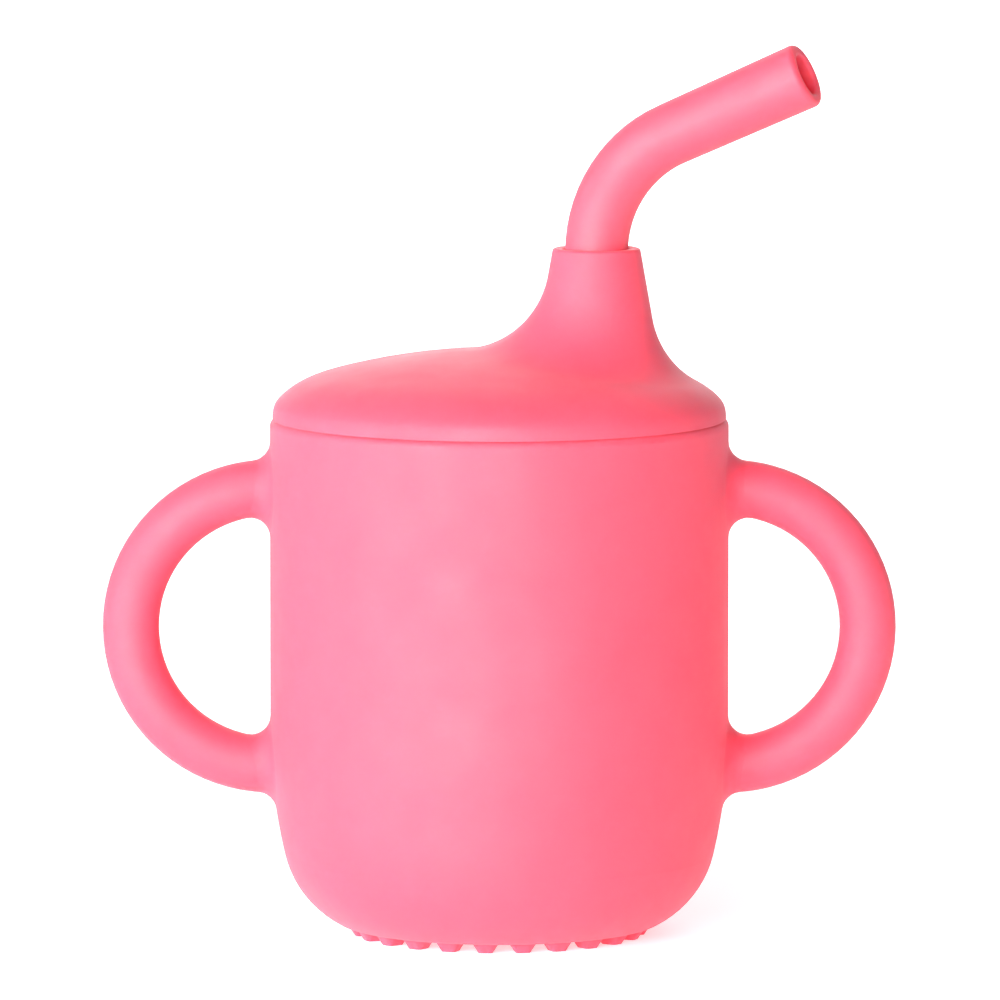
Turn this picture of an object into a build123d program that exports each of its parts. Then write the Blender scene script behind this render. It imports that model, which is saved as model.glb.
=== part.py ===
"""Toddler's sippy cup: a two-handled cup, a domed lid with an off-centre spout, and a bent drinking straw.

All three pieces are moulded silicone. The cup stands on a ring of grip teeth, the lid plugs into
the cup's mouth, and the straw runs through the lid's spout down to the cup's floor.

Frame: millimetres, +Z up. The origin is on the cup's axis, on the plane that the cup stands on.
The handles lie along X, and the spout is offset towards +X.
"""

import os
from math import cos, radians, sin, sqrt, tan

from build123d import *

# ---- Driving dimensions: cup ----
cup_radius = 35.0  # outside of the straight wall
rim_z = 79.2  # top of the rim, above the standing plane
cup_wall = 3.0
floor_thickness = 3.4
rim_outer_round = 1.2  # leaves a shallow groove under the lid's edge
rim_inner_round = 0.6

flank_radius = 82.0  # first, gentle arc from the straight wall down
flank_turn = 13.3  # degrees turned by the flank arc
heel_radius = 15.8  # second, tight arc
heel_turn = 62.2  # degrees turned by flank and heel together
toe_radius = 4.2  # last arc, into the flat underside

# ---- Driving dimensions: grip teeth under the cup ----
tooth_count = 24
tooth_turn = -5.5  # degrees from +X to the first tooth
tooth_height = 1.4
tooth_inset = 0.5  # of the teeth's outer ends from the edge of the flat underside
tooth_length = 2.6  # along the radius, where it stands
tooth_width = 2.2  # where it stands
tooth_draft = 33.0  # degrees
tooth_corner = 0.5
tooth_root = 0.5  # how far each tooth runs up into the cup

# ---- Driving dimensions: handles ----
handle_loop_radius = 21.3  # from the loop's centre to the middle of the grip
handle_grip_radius = 4.3
handle_drop = 32.0  # from the rim down to the loop's centre, on the cup's wall
handle_blend = 3.0

# ---- Driving dimensions: lid ----
lid_overhang = -0.4  # the lid's edge lies this far inside the cup's wall
crown_radius = 99.0  # sphere of the dome
crown_edge_height = 7.29  # border of the sphere above the rim
shoulder_width = 9.6  # border of the dome, where it leaves the sphere and curves down
shoulder_inset = (3.4, 1.0)  # two places on the shoulder's curve, in from the lid's edge
shoulder_height = (4.9, 3.0)  # and above the rim
lid_edge = 0.15  # upright edge left under the shoulder
lid_wall = 2.6
plug_depth = 9.0
plug_wall = 2.4
plug_end_round = 0.9
bead_count = 3
bead_radius = 0.6
bead_pitch = 2.6
first_bead_drop = 1.95  # from the rim down to the first bead
mouth_clearance = 0.05  # between the sealing beads and the cup's mouth
bead_stand = 0.5  # the beads' height over the plug

# ---- Driving dimensions: spout ----
spout_margin = 9.33  # from the foot of the spout's cone to the lid's edge
spout_height = 26.0  # top of the spout above the rim
spout_lip = 1.8  # wall at the spout's top
spout_draft = 10.0  # degrees
spout_foot = 4.4  # the spout's cone starts this far above the rim
spout_blend = 14.0
spout_edge_round = 0.5
spout_straight = 1.0  # least straight wall between the blend and the rounded top edge
spout_wall = 2.0
grip_land = 9.5  # length of bore that holds the straw
bore_overrun = 1.0  # how far the bore's cut runs past the land at each end
cavity_blend = 4.0
cavity_shoulder = 2.0
vent_radius = 0.6
vent_place = (-8.0, 15.0)  # on the dome, beside and behind the spout

# ---- Driving dimensions: straw ----
straw_radius = 4.8
mouth_flare = 0.25  # the straw widens by this much towards the mouth
straw_bore = 3.2
bore_clearance = 0.06  # around the straw in the spout
bend_radius = 20.2
bend_turn = 65.8  # degrees
bend_sink = 0.7  # the bend starts this far below the spout's top
mouth_length = 23.4
straw_yaw = -17.0  # the straw points this many degrees round from +X
lip_outer_round = 0.9
lip_inner_round = 0.6
stop_ring_reach = 1.05  # out from the straw
stop_ring_height = 2.4
stop_ring_round = 0.5
stop_ring_gap = 0.1  # below the grip land
straw_floor_gap = 2.5
straw_cut = 30.0  # degrees, slanted lower end


def grip_tooth():
    """One tooth of the grip ring, narrowest where it stands, with its length along X."""
    root_z = tooth_height + tooth_root
    with BuildPart() as tooth:
        for height in (0, root_z):
            spread = height * tan(radians(tooth_draft))
            with BuildSketch(Plane.XY.offset(height)):
                RectangleRounded(tooth_length + 2 * spread, tooth_width + 2 * spread,
                                 tooth_corner + spread)
        loft()
    return tooth.part


def body_outline(radius, top_z, floor_z, flank, flank_z, heel, heel_end, toe):
    """Half section of a round-heeled vessel, from its axis to its wall, drawn in (radius, height)."""
    with BuildSketch(Plane.YZ) as section:
        with BuildLine():
            wall = Line((radius, top_z), (radius, flank_z))
            flank_arc = JernArc(wall @ 1, (0, -1), flank, -flank_turn)
            heel_arc = JernArc(flank_arc @ 1, flank_arc % 1, heel, flank_turn - heel_end)
            last = heel_arc
            if toe:
                last = JernArc(heel_arc @ 1, heel_arc % 1, toe, heel_end - 90)
            Line(last @ 1, (0, floor_z))
            Line((0, floor_z), (0, top_z))
            Line((0, top_z), (radius, top_z))
        make_face()
    return section.sketch


def domed_disc(radius, base_z, top_z, sphere):
    """Short cylinder with a spherical top."""
    with BuildPart() as disc:
        with Locations((0, 0, base_z)):
            Cylinder(radius, top_z - base_z, align=(Align.CENTER, Align.CENTER, Align.MIN))
        # The sphere lies on its side, so that its poles are away from the dome.
        with Locations((0, 0, top_z - sphere)):
            Sphere(sphere, rotation=(0, 90, 0), mode=Mode.INTERSECT)
    return disc.part


def bent_rod(radius, end_radius):
    """Upright rod that bends over towards the mouth and widens to end_radius there."""
    with BuildPart() as rod:
        with BuildSketch(Plane((spout_x, 0, straw_end_z))):
            Circle(radius)
        extrude(amount=bend_z - straw_end_z)
        with BuildSketch(Plane((spout_x, 0, bend_z))):
            Circle(radius)
        revolve(axis=bend_axis, revolution_arc=bend_turn)
        with BuildSketch(mouth_plane):
            Circle(radius)
        with BuildSketch(mouth_plane.offset(mouth_length)):
            Circle(end_radius)
        loft()
    return rod.part


# ---- Derived places ----
floor_z = tooth_height + floor_thickness
handle_z = rim_z - handle_drop
handle_top_z = handle_z + handle_loop_radius
handle_bottom_z = handle_z - handle_loop_radius
handle_root = cup_radius - handle_grip_radius  # the handles' ends, sunk into the wall
cavity_radius = cup_radius - cup_wall
flank_drop = flank_radius * sin(radians(flank_turn))
heel_drop = heel_radius * (sin(radians(heel_turn)) - sin(radians(flank_turn)))
toe_drop = toe_radius * (1 - sin(radians(heel_turn)))
flank_z = tooth_height + flank_drop + heel_drop + toe_drop
flank_inset = flank_radius * (1 - cos(radians(flank_turn)))
heel_inset = heel_radius * (cos(radians(flank_turn)) - cos(radians(heel_turn)))
toe_inset = toe_radius * cos(radians(heel_turn))
underside_radius = cup_radius - flank_inset - heel_inset - toe_inset
tooth_ring_radius = underside_radius - tooth_inset - tooth_length / 2
cavity_flank = flank_radius - cup_wall
cavity_heel = (flank_z - floor_z - cavity_flank * sin(radians(flank_turn))) / (
    1 - sin(radians(flank_turn))
)

lid_radius = cup_radius + lid_overhang
plug_radius = cavity_radius - mouth_clearance - bead_stand
plug_bore = plug_radius - plug_wall
plug_end_z = rim_z - plug_depth
crown_edge = lid_radius - shoulder_width
crown_edge_rise = sqrt(crown_radius**2 - crown_edge**2)
crown_edge_z = rim_z + crown_edge_height
crown_z = crown_edge_z + crown_radius - crown_edge_rise
crown_edge_slope = crown_edge / crown_edge_rise
spout_z = rim_z + spout_height
spout_bore = straw_radius + bore_clearance
spout_top_radius = spout_bore + spout_lip
spout_slope = tan(radians(spout_draft))
spout_foot_radius = spout_top_radius + spout_slope * (spout_height - spout_foot)
spout_x = lid_radius - spout_margin - spout_foot_radius
blend_room = (spout_z - crown_z - spout_edge_round - spout_straight) / (
    1 - sin(radians(spout_draft))
)
land_z = spout_z - grip_land
core_top_radius = spout_top_radius + spout_slope * grip_land - spout_wall
core_foot_radius = core_top_radius + spout_slope * (land_z - rim_z)

bend_z = spout_z - bend_sink
straw_end_z = floor_z + straw_floor_gap
mouth_radius = straw_radius + mouth_flare
stop_ring_radius = straw_radius + stop_ring_reach
stop_ring_z = land_z - stop_ring_gap
cut_z = straw_end_z + straw_radius * tan(radians(straw_cut))
heading = Vector(cos(radians(straw_yaw)), sin(radians(straw_yaw)), 0)
bend_axis = Axis(
    Vector(spout_x, 0, bend_z) + heading * bend_radius, Vector(0, 0, 1).cross(heading)
)
mouth_direction = heading * sin(radians(bend_turn)) + Vector(0, 0, cos(radians(bend_turn)))
mouth_start = (
    Vector(spout_x, 0, bend_z)
    + heading * bend_radius * (1 - cos(radians(bend_turn)))
    + Vector(0, 0, bend_radius * sin(radians(bend_turn)))
)
mouth_plane = Plane(mouth_start, z_dir=mouth_direction)

os.makedirs("parts", exist_ok=True)

# ---- Cup: body, handles and grip teeth moulded in one ----
with BuildPart() as cup:
    add(body_outline(cup_radius, rim_z, tooth_height, flank_radius, flank_z,
                     heel_radius, heel_turn, toe_radius))
    revolve(axis=Axis.Z)
    with BuildLine(Plane.XZ):
        Line((handle_root, handle_top_z), (cup_radius, handle_top_z))
        CenterArc((cup_radius, handle_z), handle_loop_radius, 90, -180)
        Line((cup_radius, handle_bottom_z), (handle_root, handle_bottom_z))
    with BuildSketch(Plane.YZ.offset(handle_root)):
        with Locations((0, handle_top_z)):
            Circle(handle_grip_radius)
    sweep()
    mirror(about=Plane.YZ)
    joints = cup.edges().filter_by(
        lambda e: e.geom_type not in (GeomType.CIRCLE, GeomType.LINE)
        and abs(e.center().X) > handle_root
    )
    fillet(joints, handle_blend)
    with PolarLocations(tooth_ring_radius, tooth_count, tooth_turn):
        add(grip_tooth())
    add(body_outline(cavity_radius, rim_z, floor_z, cavity_flank, flank_z,
                     cavity_heel, 90, 0))
    revolve(axis=Axis.Z, mode=Mode.SUBTRACT)
    rim = cup.edges().filter_by(GeomType.CIRCLE).group_by(Axis.Z)[-1]
    fillet(rim.sort_by(SortBy.RADIUS)[0], rim_inner_round)
    rim = cup.edges().filter_by(GeomType.CIRCLE).group_by(Axis.Z)[-1]
    fillet(rim.sort_by(SortBy.RADIUS)[-1], rim_outer_round)

# ---- Hollow of the lid: under the dome and up inside the spout ----
with BuildPart() as lid_hollow:
    add(domed_disc(plug_bore, plug_end_z, crown_z - lid_wall, crown_radius - lid_wall))
    fillet(lid_hollow.edges().filter_by(GeomType.CIRCLE).sort_by(Axis.Z)[-1], cavity_shoulder)
    with Locations((spout_x, 0, land_z)):
        Cone(core_foot_radius, core_top_radius, land_z - rim_z,
             align=(Align.CENTER, Align.CENTER, Align.MAX))
    foot = lid_hollow.edges().filter_by(
        lambda e: e.geom_type not in (GeomType.CIRCLE, GeomType.LINE)
    )
    fillet(foot, cavity_blend)

# ---- Lid: dome, spout and sealing plug moulded in one ----
with BuildPart() as lid:
    add(domed_disc(crown_edge, rim_z, crown_z, crown_radius))
    with BuildSketch(Plane.XZ):
        with BuildLine():
            on_shoulder = [
                (lid_radius - inset, rim_z + height)
                for inset, height in zip(shoulder_inset, shoulder_height)
            ]
            shoulder = Spline((crown_edge, crown_edge_z), *on_shoulder,
                              (lid_radius, rim_z + lid_edge),
                              tangents=((1, -crown_edge_slope), (0, -1)))
            Polyline(shoulder @ 1, (lid_radius, rim_z), (crown_edge, rim_z), shoulder @ 0)
        make_face()
    revolve(axis=Axis.Z)
    with Locations((spout_x, 0, spout_z)):
        Cone(spout_foot_radius, spout_top_radius, spout_height - spout_foot,
             align=(Align.CENTER, Align.CENTER, Align.MAX))
    foot = lid.edges().filter_by(
        lambda e: e.geom_type not in (GeomType.CIRCLE, GeomType.LINE)
    )
    fillet(foot, min(spout_blend, blend_room))
    with Locations((0, 0, plug_end_z)):
        Cylinder(plug_radius, plug_depth, align=(Align.CENTER, Align.CENTER, Align.MIN))
    fillet(lid.edges().filter_by(GeomType.CIRCLE).sort_by(Axis.Z)[0], plug_end_round)
    for bead in range(bead_count):
        with Locations((0, 0, rim_z - first_bead_drop - bead * bead_pitch)):
            Torus(plug_radius + bead_stand - bead_radius, bead_radius)
    add(lid_hollow.part, mode=Mode.SUBTRACT)
    with Locations((spout_x, 0, land_z - bore_overrun)):
        Cylinder(spout_bore, grip_land + 2 * bore_overrun,
                 align=(Align.CENTER, Align.CENTER, Align.MIN), mode=Mode.SUBTRACT)
    fillet(lid.edges().filter_by(GeomType.CIRCLE).group_by(Axis.Z)[-1], spout_edge_round)
    with Locations((*vent_place, rim_z)):
        Cylinder(vent_radius, crown_z - rim_z, align=(Align.CENTER, Align.CENTER, Align.MIN),
                 mode=Mode.SUBTRACT)

# ---- Straw: mouthpiece, bend and stem moulded in one ----
with BuildPart() as straw:
    add(bent_rod(straw_radius, mouth_radius))
    with Locations((spout_x, 0, stop_ring_z)):
        Cylinder(stop_ring_radius, stop_ring_height,
                 align=(Align.CENTER, Align.CENTER, Align.MAX))
    ring_edges = straw.edges().filter_by(GeomType.CIRCLE).filter_by_position(
        Axis.Z, stop_ring_z - stop_ring_height, stop_ring_z
    )
    fillet(ring_edges.sort_by(SortBy.RADIUS)[-2:], stop_ring_round)
    add(bent_rod(straw_bore, straw_bore), mode=Mode.SUBTRACT)
    lip = straw.faces().sort_by(Axis(mouth_start, mouth_direction))[-1].edges()
    fillet(lip.sort_by(SortBy.RADIUS)[-1], lip_outer_round)
    lip = straw.faces().sort_by(Axis(mouth_start, mouth_direction))[-1].edges()
    fillet(lip.sort_by(SortBy.RADIUS)[0], lip_inner_round)
    split(bisect_by=Plane((spout_x, 0, cut_z)).rotated((straw_cut, 0, 0)), keep=Keep.TOP)

cup.part.label = "cup"
export_step(cup.part, "parts/cup.step")

lid.part.label = "lid"
export_step(lid.part, "parts/lid.step")

straw.part.label = "straw"
export_step(straw.part, "parts/straw.step")
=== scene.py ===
"""Looks of the two-handled sippy cup: coral pink matte silicone on a white studio sweep.

The cup, the lid and the straw keep their CAD meshes and get silicone finishes of their own.
"""

from math import cos, radians, sin

import bpy
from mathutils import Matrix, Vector

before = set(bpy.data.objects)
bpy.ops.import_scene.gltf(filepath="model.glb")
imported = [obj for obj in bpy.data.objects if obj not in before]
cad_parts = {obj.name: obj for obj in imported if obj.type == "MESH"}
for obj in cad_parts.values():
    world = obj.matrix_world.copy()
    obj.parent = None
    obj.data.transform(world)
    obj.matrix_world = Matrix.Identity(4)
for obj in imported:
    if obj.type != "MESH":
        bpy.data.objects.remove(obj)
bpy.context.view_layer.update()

MM = 0.001

# ---- Camera: a long lens a little above the cup ----
CAMERA_DISTANCE = 1.831
CAMERA_HEIGHT = 0.2706
AIM_HEIGHT = 0.0666
LENS_MM = 434.5
SENSOR_MM = 36.0
FRAME_SHIFT = 0.0007
CLIP_END = 20.0

# ---- Studio: softboxes stand on a circle round the cup, azimuth 0 at the camera's side ----
STUDIO_CENTRE = (0, 0, 0.06)
STUDIO_RADIUS = 2.4
WORLD_STRENGTH = 0.25
# name: azimuth and elevation in degrees, (width, height) in metres, watts
SOFTBOXES = {
    "key_softbox": (-19, 8, (1.65, 1.1), 104.0),
    "side_softbox": (-42, 8, (1.65, 1.1), 50.0),
    "edge_softbox": (-85, 8, (1.65, 1.1), 20.0),
    "back_softbox": (178, 12, (1.65, 1.1), 28.0),
}
WASH_PLACE = (0, 2.2, 1.6)
WASH_SIZE = (2.0, 2.0)
WASH_WATTS = 16.0

# ---- Floor ----
FLOOR_HALF = 6.0
FLOOR_WHITE = 0.92
FLOOR_ROUGHNESS = 0.9
FLOOR_GLOW = 0.54

# ---- Silicone: linear colours, lengths in metres ----
SCATTER_WEIGHT = 1.0
SCATTER_RADIUS = (1.0, 0.22, 0.2)
SCATTER_SCALE = 2.0 * MM
SILICONE_IOR = 1.43
SPECULAR_LEVEL = 1.0
SHEEN_WEIGHT = 0.06
SHEEN_ROUGHNESS = 0.5
# deep and pale colour, least and most roughness, grain size, grain depth
MOULDED_FINISH = ((0.98, 0.065, 0.123), (0.98, 0.073, 0.135), (0.62, 0.76), 0.35 * MM, 0.012 * MM)
STRAW_FINISH = ((0.98, 0.063, 0.116), (0.98, 0.071, 0.127), (0.56, 0.70), 0.30 * MM, 0.008 * MM)
FINISHES = {"cup": MOULDED_FINISH, "lid": MOULDED_FINISH, "straw": STRAW_FINISH}

# ---- Noise: feature sizes in metres, octaves, and steps between the seeds of one material ----
MOTTLE_SIZE = 18.0 * MM
MOTTLE_DETAIL = 4.0
SMUDGE_SIZE = 7.0 * MM
SMUDGE_DETAIL = 5.0
SMUDGE_SEED_STEP = 10
GRAIN_DETAIL = 2.0
GRAIN_SEED_STEP = 20
# the part of the noise's range that is spread over a result
NOISE_LOW = 0.3
NOISE_HIGH = 0.7


def aim(obj, target):
    """Turns a camera or light so that it looks at a point."""
    direction = Vector(target) - obj.location
    obj.rotation_euler = direction.to_track_quat("-Z", "Y").to_euler()


def make_camera():
    """Long-lens camera in front of the cup."""
    data = bpy.data.cameras.new("camera")
    data.lens = LENS_MM
    data.sensor_width = SENSOR_MM
    data.shift_x = FRAME_SHIFT
    data.clip_end = CLIP_END
    camera = bpy.data.objects.new("camera", data)
    bpy.context.collection.objects.link(camera)
    camera.location = (0, -CAMERA_DISTANCE, CAMERA_HEIGHT)
    aim(camera, (0, 0, AIM_HEIGHT))
    bpy.context.scene.camera = camera


def area_light(name, place, target, size, watts):
    """Rectangular light at a place, turned towards a target."""
    data = bpy.data.lights.new(name, "AREA")
    data.shape = "RECTANGLE"
    data.size, data.size_y = size
    data.energy = watts
    light = bpy.data.objects.new(name, data)
    bpy.context.collection.objects.link(light)
    light.location = place
    aim(light, target)


def studio_place(azimuth, elevation):
    """Point on the studio's circle; azimuth 0 is towards -Y and positive azimuths towards +X."""
    reach = STUDIO_RADIUS * cos(radians(elevation))
    offset = (reach * sin(radians(azimuth)), -reach * cos(radians(azimuth)),
              STUDIO_RADIUS * sin(radians(elevation)))
    return Vector(STUDIO_CENTRE) + Vector(offset)


def make_studio():
    """Softboxes round the cup, a wash on the floor behind it and a dim white world."""
    for name, (azimuth, elevation, size, watts) in SOFTBOXES.items():
        area_light(name, studio_place(azimuth, elevation), STUDIO_CENTRE, size, watts)
    below_wash = (WASH_PLACE[0], WASH_PLACE[1], 0)
    area_light("sweep_wash", WASH_PLACE, below_wash, WASH_SIZE, WASH_WATTS)
    world = bpy.data.worlds.new("studio")
    world.use_nodes = True
    background = world.node_tree.nodes["Background"]
    background.inputs["Color"].default_value = (1, 1, 1, 1)
    background.inputs["Strength"].default_value = WORLD_STRENGTH
    bpy.context.scene.world = world
    bpy.context.scene.view_settings.view_transform = "Standard"


def make_floor():
    """White, slightly glowing floor under the cup."""
    data = bpy.data.meshes.new("floor")
    corners = [(-1, -1), (1, -1), (1, 1), (-1, 1)]
    data.from_pydata([(x * FLOOR_HALF, y * FLOOR_HALF, 0) for x, y in corners], [], [(0, 1, 2, 3)])
    floor = bpy.data.objects.new("floor", data)
    bpy.context.collection.objects.link(floor)
    material = bpy.data.materials.new("floor_acrylic")
    material.use_nodes = True
    shader = material.node_tree.nodes["Principled BSDF"]
    shader.inputs["Base Color"].default_value = (FLOOR_WHITE, FLOOR_WHITE, FLOOR_WHITE, 1)
    shader.inputs["Roughness"].default_value = FLOOR_ROUGHNESS
    shader.inputs["Specular IOR Level"].default_value = 0.0
    shader.inputs["Emission Color"].default_value = (1, 1, 1, 1)
    shader.inputs["Emission Strength"].default_value = FLOOR_GLOW
    data.materials.append(material)


def noise(tree, size, detail, seed):
    """4D noise in the object's own space, with features of about the given size in metres."""
    coords = tree.nodes.new("ShaderNodeTexCoord")
    texture = tree.nodes.new("ShaderNodeTexNoise")
    texture.noise_dimensions = "4D"
    texture.inputs["Scale"].default_value = 1.0 / size
    texture.inputs["Detail"].default_value = detail
    texture.inputs["W"].default_value = seed
    tree.links.new(coords.outputs["Object"], texture.inputs["Vector"])
    return texture.outputs["Fac"]


def spread(tree, value, low, high):
    """Maps the middle of a noise's range to the range from low to high."""
    remap = tree.nodes.new("ShaderNodeMapRange")
    remap.inputs["From Min"].default_value = NOISE_LOW
    remap.inputs["From Max"].default_value = NOISE_HIGH
    remap.inputs["To Min"].default_value = low
    remap.inputs["To Max"].default_value = high
    tree.links.new(value, remap.inputs["Value"])
    return remap.outputs["Result"]


def silicone(name, deep, pale, roughness, grain_size, grain_depth, seed):
    """Matte moulded silicone: faint mottling, soft smudges in the sheen and a fine moulded grain."""
    material = bpy.data.materials.new(name)
    material.use_nodes = True
    tree = material.node_tree
    shader = tree.nodes["Principled BSDF"]

    tint = tree.nodes.new("ShaderNodeMix")
    tint.data_type = "RGBA"
    tint.inputs["A"].default_value = (*deep, 1)
    tint.inputs["B"].default_value = (*pale, 1)
    mottle = noise(tree, MOTTLE_SIZE, MOTTLE_DETAIL, seed)
    tree.links.new(spread(tree, mottle, 0.0, 1.0), tint.inputs["Factor"])
    tree.links.new(tint.outputs["Result"], shader.inputs["Base Color"])

    smudge = noise(tree, SMUDGE_SIZE, SMUDGE_DETAIL, seed + SMUDGE_SEED_STEP)
    tree.links.new(spread(tree, smudge, *roughness), shader.inputs["Roughness"])

    grain = tree.nodes.new("ShaderNodeBump")
    grain.inputs["Strength"].default_value = 1.0
    grain.inputs["Distance"].default_value = grain_depth
    bumps = noise(tree, grain_size, GRAIN_DETAIL, seed + GRAIN_SEED_STEP)
    tree.links.new(bumps, grain.inputs["Height"])
    tree.links.new(grain.outputs["Normal"], shader.inputs["Normal"])

    shader.inputs["Subsurface Weight"].default_value = SCATTER_WEIGHT
    shader.inputs["Subsurface Radius"].default_value = SCATTER_RADIUS
    shader.inputs["Subsurface Scale"].default_value = SCATTER_SCALE
    shader.inputs["IOR"].default_value = SILICONE_IOR
    shader.inputs["Specular IOR Level"].default_value = SPECULAR_LEVEL
    shader.inputs["Sheen Weight"].default_value = SHEEN_WEIGHT
    shader.inputs["Sheen Roughness"].default_value = SHEEN_ROUGHNESS
    return material


def finish_pieces():
    """Gives each CAD piece its own silicone, with a seed of its own."""
    for seed, (node, finish) in enumerate(FINISHES.items()):
        material = silicone(f"{node}_silicone", *finish, seed)
        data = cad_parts[node].data
        data.materials.clear()
        data.materials.append(material)


make_camera()
make_studio()
make_floor()
finish_pieces()
